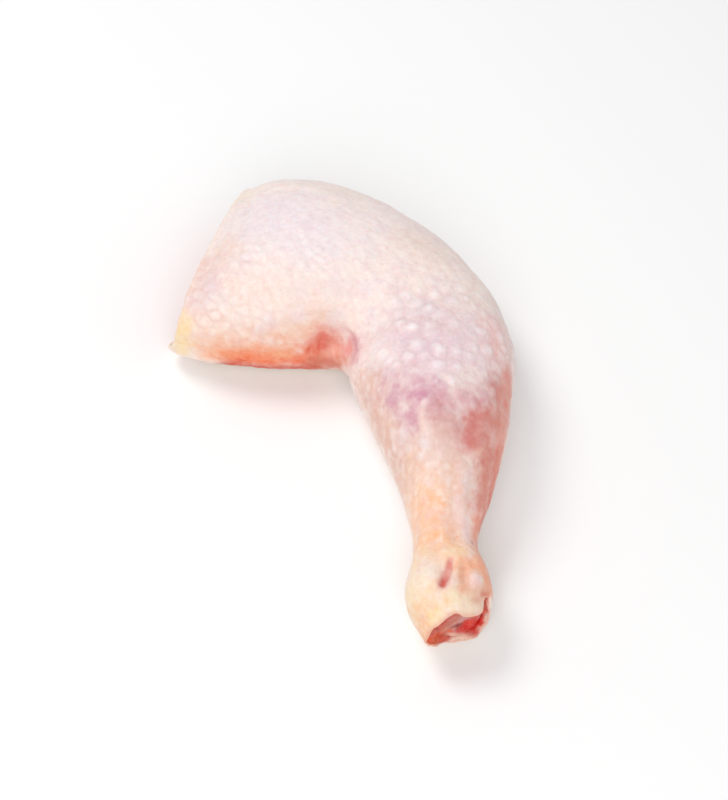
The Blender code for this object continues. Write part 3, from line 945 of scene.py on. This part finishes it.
# The muscles cut at the hip: their middles on the cut face, across and up, in millimetres, and how
# wide each spreads against the others.
MUSCLES = np.array((
    (-24, 3, 1.25),
    (-10, 10, 0.8),
    (8, 7, 1.3),
    (26, 4, 1.0),
    (14, -9, 1.05),
    (-5, -6, 0.95),
    (-22, -11, 0.7),
    (31, -9, 0.6),
))
MUSCLE_SEED = 5
MEAT_BASE = (208, 104, 92)
FAT_COLOUR = (240, 206, 184)
DARK_MEAT = (160, 52, 48)
PALE_MEAT = (236, 158, 140)
PALE_FIBRES = (236, 144, 122)
DARK_FIBRES = (158, 44, 34)
HIDDEN_DARKNESS = 0.35  # of the meat round the bone


def muscle_pattern(points, across, up):
    """Which muscle each point belongs to, and how far it is from the seam to the next one."""
    across = across + noises(points, (6, 13, 53), (1.8, 5, 58))
    up = up + noises(points, (5, 13, 59), (1.6, 5, 60))
    flat = np.stack((across, up), axis=-1)
    away = np.linalg.norm(flat[..., None, :] - MUSCLES[:, :2], axis=-1) / MUSCLES[:, 2]
    order = np.sort(away, axis=-1)
    return np.argmin(away, axis=-1), order[..., 1] - order[..., 0]


def meat_side():
    """The meat's outer face as rings, with the seams of fat where it is bare, and the angles of a
    ring."""
    start = HIP_RECESS / STATION_PITCH
    places = np.linspace(start, MEAT_END, LAST * MEAT_ROWS_PER_STATION)
    table = np.array([arc(place, DOWN, FULL_TURN, MEAT_COLUMNS) for place in places])
    rings, angles = table[..., :3], table[..., 3]
    halves = np.array([window_half_angle(place) for place in places])[:, None]
    from_down = np.minimum(angles - DOWN, DOWN + FULL_TURN - angles)
    bare = ease((halves - from_down) / math.radians(5))
    relief = slow_relief(rings) * off_floor(rings[..., 2])
    at_cut = ease(1 - (LAST - places) / 0.5)
    depth = (skin_depth(places) + LAYER_GAP * (1 - 1.8 * at_cut))[:, None]
    fibres = noise_at(rings * (0.25, 1.0, 1.0), 3.4, 51)
    bundles = noise_at(rings * (0.2, 0.75, 1.0), 9, 52)
    bare_relief = 0.9 * bundles + 0.25 * fibres - 0.5
    inward = depth * (1 - bare) + (BARE_DEPTH - np.minimum(bare_relief, 0.4)) * bare
    moved = rings + ring_normals(rings) * (relief * (1 - bare) - inward)[..., None]
    moved += HOCK_OUTWARD * hock_lip(rings, places[:, None])[..., None]
    moved[:, -1] = moved[:, 0]
    return moved, bare * bell(bundles / 0.07), angles[-1]


def bone_rings(places, angles, extra=0.0):
    """Oval rings of the shank bone at places, grown by some extra."""
    stop_places = BONE_STOPS[:, 0]
    sizes = (np.interp(places, stop_places, column) for column in BONE_STOPS[:, 1:].T)
    widths, heights, sideways = sizes
    table = spline(STATIONS, places)
    across = unit(np.column_stack((table[:, FAR] - table[:, NEAR], np.zeros(len(places)))))
    ahead = towards_hock(places)
    recess = BONE_RECESS * ease((places - BONE_STOPS[-2, 0]) / (LAST - BONE_STOPS[-2, 0]))
    middle = centres(places) - ahead * recess[:, None] + across * sideways[:, None]
    slope = table[:, LEAN] / (table[:, TOP] - table[:, BOTTOM]) * 2
    rise = (heights + extra)[:, None] * np.sin(angles)
    wide = (widths + extra)[:, None] * np.cos(angles)
    rings = middle[:, None] + across[:, None] * wide[..., None]
    rings = rings + ahead[:, None] * (slope[:, None] * rise)[..., None]
    rings[..., 2] += rise
    return rings


# Patches on the hock cut, over meat and bone alike.
CUT_PATCHES = (
    (((51.4, -103, 23), (52.5, -107, 19.5)), 3.2, (196, 60, 34), 0.92),
    (((34.5, -117, 14), (38, -115.2, 17)), 4.8, (216, 78, 22), 0.98, 0.05, 3.5),
    (((37.6, -115.3, 13.6), (36, -116.4, 12)), 1.3, (112, 26, 16), 0.85),
    (((39.4, -115, 19.5), (41.5, -114, 24.5)), 3.4, (206, 132, 114), 0.9, 0.3),
    (((40, -114.4, 13.2), (43, -112.4, 11)), 1.2, (240, 186, 162), 0.85),
    (((45.2, -111.2, 14.2), (49.4, -109.6, 13)), 4.1, (206, 26, 8), 0.97, 0.0, 5.0),
    (((45.2, -111.2, 16.4), (46.6, -110.6, 15)), 1.3, (232, 92, 70), 0.7, 0.3),
    (((40.6, -114, 19), (43, -112.8, 17)), 1.7, (134, 32, 20), 0.9),
    (((47, -110.5, 21), (51, -108.6, 19)), 1.6, (220, 104, 84), 0.7),
    (((41, -113, 8), (46, -112, 7.5), (50, -111, 8), (53, -110, 10)),
     2.6, (240, 204, 184), 0.95, 0.0, 4.0),
    (((51.6, -110.2, 10), (53.3, -109, 12), (53.6, -108.2, 16)), 1.9, (240, 204, 184), 0.95, 0.0, 4.0),
)

# Bumps and hollows of the hock cut's face: middle, reach and height.
CUT_BUMPS = (
    (HOCK_LIP, 6.5, 1.8),
    ((46, -110.8, 15.5), 2.2, -1.0),  # the hollow of the marrow
    ((50, -109, 13), 1.6, -0.7),
    ((40.6, -114.4, 21.5), 3.4, 0.9),  # gristle
    ((37, -115.6, 14), 2.6, -1.3),  # the torn corner
    ((42.4, -112.6, 11.2), 2.2, 0.7),
)


def cut_relief(points):
    """How far the hock cut's face stands out."""
    relief = noises(points, (0.4, 2.4, 62), (0.2, 1.1, 63))
    for middle, reach, height in CUT_BUMPS:
        relief += height * blob(points, middle, reach)
    return relief


def hip_face(edge):
    """The face that closes the hip end, parted into muscles: its rings, and how dark and how fat
    each point is."""
    rings, shares = face_rings(edge, HIP_OUTWARD, HIP_BULGE)
    from_middle = rings - edge[:-1].mean(axis=0)
    level = unit(np.append(STATIONS[0, FAR] - STATIONS[0, NEAR], 0.0))
    muscle, to_seam = muscle_pattern(rings, from_middle @ level, from_middle[..., 2])
    relief = 1.3 * (1 - bell(to_seam / 5)) - 0.5 * bell(to_seam / 0.8) - 0.8
    relief += noises(rings, (0.25, 4, 61), (0.16, 1.6, 54))
    fade = 1 - ease((shares - 0.8) / 0.2)
    moved = rings + HIP_OUTWARD * (relief * fade)[..., None]

    shade = np.random.default_rng(MUSCLE_SEED).uniform(-0.5, 0.5, len(MUSCLES))
    broken = ease(0.6 + 1.4 * noise_at(rings, 6, 64))
    in_seam = 0.6 * bell(to_seam / 0.5)
    under_skin = 0.5 * ease((shares - 0.9) / 0.1)
    return moved, shade[muscle], np.maximum(in_seam, under_skin) * broken


def hock_face(edge, angles):
    """Rings over the hock cut, from the meat's edge to the bone."""
    bone_edge = bone_rings(np.array((float(LAST),)), angles, BONE_GAP)[0]
    shares = np.linspace(0, 1, HOCK_RINGS + 2)[1:-1, None]
    rings = edge + (bone_edge - edge) * shares[..., None]
    rise = (0.7 * np.sin(np.pi * shares) + cut_relief(rings)) * ease(shares / 0.25)
    return rings + HOCK_OUTWARD * rise[..., None]


def make_meat_material():
    """Damp meat: painted colours, with fine pale and dark fibres."""
    finish = Finish(
        "chicken_meat",
        Subsurface_Weight=0.15, Subsurface_Radius=(1.0, 0.3, 0.2), Subsurface_Scale=0.0016,
        Coat_Weight=0.04, Coat_Roughness=0.2, Specular_IOR_Level=0.16,
    )
    fibre = finish.noise(900.0, 4.0)
    colour = finish.mix(finish.spread(fibre, 0.5, 0.75, 0.0, 0.3), finish.tint(), PALE_FIBRES)
    colour = finish.mix(finish.spread(fibre, 0.5, 0.28, 0.0, 0.35), colour, DARK_FIBRES)
    roughness = finish.spread(finish.noise(300.0), 0.3, 0.7, 0.3, 0.5)
    finish.connect(colour, roughness, fibre, 0.0005)
    return finish.material


def make_meat():
    side, seams, angles = meat_side()
    hip, hip_darkness, hip_fat = hip_face(side[0])
    hock = hock_face(side[-1], angles)
    channel = bone_rings(np.linspace(LAST, BONE_STOPS[0, 0], CHANNEL_ROWS), angles, BONE_GAP)
    knee_end = channel[-1].mean(axis=0) - towards_hock(BONE_STOPS[:1, 0]) * BONE_GAP
    inside = np.concatenate((hock, channel, np.repeat(knee_end[None], len(angles), axis=1)))
    points, quads, at = close_rings(np.concatenate((hip, side, inside)))

    no_fat = np.zeros(inside.shape[:2])
    fat = np.concatenate((hip_fat, seams, no_fat))[at]
    darkness = np.concatenate((hip_darkness, np.zeros_like(seams), no_fat + HIDDEN_DARKNESS))[at]
    darkness += noises(points, (0.25, 6, 56), (0.2, 1.6, 57))
    tint = towards(one_colour(MEAT_BASE, len(points)), DARK_MEAT, darkness)
    tint = towards(tint, PALE_MEAT, -darkness)
    tint = towards(tint, FAT_COLOUR, 0.85 * fat)
    tint = paint(points, tint, CUT_PATCHES)

    piece = new_piece("chicken_meat", points, quads, tint, make_meat_material())
    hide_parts("meat")


BONE_COLOUR = (232, 204, 190)
CARTILAGE_COLOUR = (206, 150, 146)
CARTILAGE_ROWS = 3  # how many rows of the bone's side the cartilage covers
BONE_PORES = (240, 190, 176)


def make_bone_material():
    """Damp bone and cartilage: painted colours, with fine pores."""
    finish = Finish(
        "chicken_bone",
        Subsurface_Weight=0.1, Subsurface_Radius=(1.0, 0.35, 0.25), Subsurface_Scale=0.001,
        Coat_Weight=0.08, Coat_Roughness=0.2, Specular_IOR_Level=0.25,
    )
    pores = finish.noise(1500.0, 3.0)
    colour = finish.mix(finish.spread(pores, 0.52, 0.75, 0.0, 0.35), finish.tint(), BONE_PORES)
    roughness = finish.spread(finish.noise(500.0), 0.3, 0.7, 0.25, 0.45)
    finish.connect(colour, roughness, pores, 0.0004)
    return finish.material


def make_bone():
    angles = DOWN + np.linspace(0, FULL_TURN, BONE_COLUMNS + 1)
    side = bone_rings(np.linspace(BONE_STOPS[0, 0], LAST, BONE_ROWS), angles)
    shares = np.linspace(1, 0, FACE_RINGS + 1)[1:, None]
    middle = side[-1][:-1].mean(axis=0)
    face = middle + (side[-1] - middle) * shares[..., None]
    rise = (0.8 + cut_relief(face)) * ease((1 - shares) / 0.15)
    face = face + HOCK_OUTWARD * rise[..., None]
    face[-1] = face[-1].mean(axis=0)
    knee_end = np.repeat(side[0][:-1].mean(axis=0)[None, None], len(angles), axis=1)
    points, quads, (row, _) = close_rings(np.concatenate((knee_end, side, face)))

    covered = (row >= 1 + len(side) - CARTILAGE_ROWS).astype(float)
    tint = towards(one_colour(BONE_COLOUR, len(points)), CARTILAGE_COLOUR, covered)
    tint = paint(points, tint, CUT_PATCHES)
    piece = new_piece("bone_end", points, quads, tint, make_bone_material())
    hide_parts("shank_bone")


def make_floor():
    half = 3.0
    corners = [(-half, -half, 0), (half, -half, 0), (half, half, 0), (-half, half, 0)]
    finish = Finish("floor", Base_Color=(0.97, 0.97, 0.97, 1), Roughness=0.9)
    mesh = bpy.data.meshes.new("floor")
    mesh.from_pydata(corners, [], [(0, 1, 2, 3)])
    mesh.materials.append(finish.material)
    floor = new_object("floor", mesh)


def aim(thing, target):
    thing.rotation_mode = "QUATERNION"
    thing.rotation_quaternion = (Vector(target) - thing.location).to_track_quat("-Z", "Y")


def add_area_light(name, location, size, power_watts):
    light = bpy.data.lights.new(name, "AREA")
    light.shape = "DISK"
    light.size = size
    light.energy = power_watts
    lamp = new_object(name, light)
    lamp.location = location
    aim(lamp, (0, 0, 0.02))


def make_light():
    add_area_light("key", location=(-0.45, 0.3, 0.95), size=0.55, power_watts=3.9)
    add_area_light("fill", location=(-0.02, -0.9, 0.8), size=0.8, power_watts=4.9)
    world = bpy.data.worlds.new("studio")
    bpy.context.scene.world = world
    world.use_nodes = True
    background = world.node_tree.nodes["Background"]
    background.inputs["Color"].default_value = (1, 1, 1, 1)
    background.inputs["Strength"].default_value = 0.56


CAMERA_ELEVATION = math.radians(52)
CAMERA_DISTANCE = 0.95
PICTURE_HEIGHT = 800  # pixels
MM_PER_PIXEL = 0.38
VIEW_HEIGHT = PICTURE_HEIGHT * MM_PER_PIXEL * MM
CAMERA_TARGET = Vector(to_model(np.array((9.88, 0.0, 0.0))))
SENSOR = 36.0


def make_camera():
    data = bpy.data.cameras.new("camera")
    data.sensor_width = SENSOR
    data.lens = SENSOR * CAMERA_DISTANCE / VIEW_HEIGHT
    camera = new_object("camera", data)
    back = Vector((0, -math.cos(CAMERA_ELEVATION), math.sin(CAMERA_ELEVATION)))
    camera.location = CAMERA_TARGET + back * CAMERA_DISTANCE
    aim(camera, CAMERA_TARGET)
    bpy.context.scene.camera = camera


make_skin()
make_meat()
make_bone()
make_floor()
make_light()
make_camera()
bpy.context.scene.view_settings.view_transform = "Standard"
